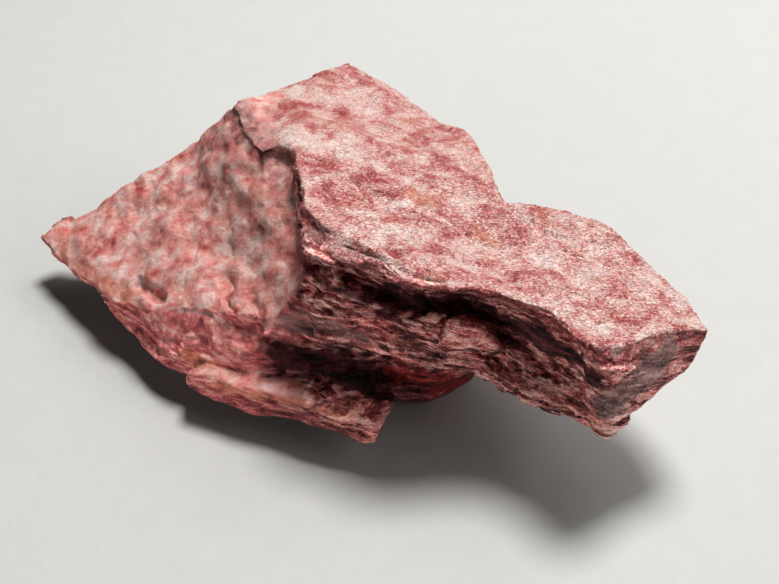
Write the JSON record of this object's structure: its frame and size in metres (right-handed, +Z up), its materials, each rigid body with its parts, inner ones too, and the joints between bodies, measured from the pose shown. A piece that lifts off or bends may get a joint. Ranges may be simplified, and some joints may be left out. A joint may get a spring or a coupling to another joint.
{
  "type": "rough jasper specimen",
  "caption": "Rough hand specimen of layered red and pink stone: a thick bedded slab with an overhanging arm, a sloping wing drawn to a point and a projecting foot, lying on a flat underside.",
  "frame": {"origin": "on the flat underside that the stone rests on, under the middle of the slab", "axes": "+X along the stone towards the overhanging arm, +Y towards its back, +Z up"},
  "size_m": [0.0761, 0.0521, 0.0257],
  "materials": {
    "jasper": "rough broken stone, banded red and pink with pale mica flecks"
  },
  "bodies": {
    "root": {"jasper_stone": "jasper"}
  },
  "joints": []
}
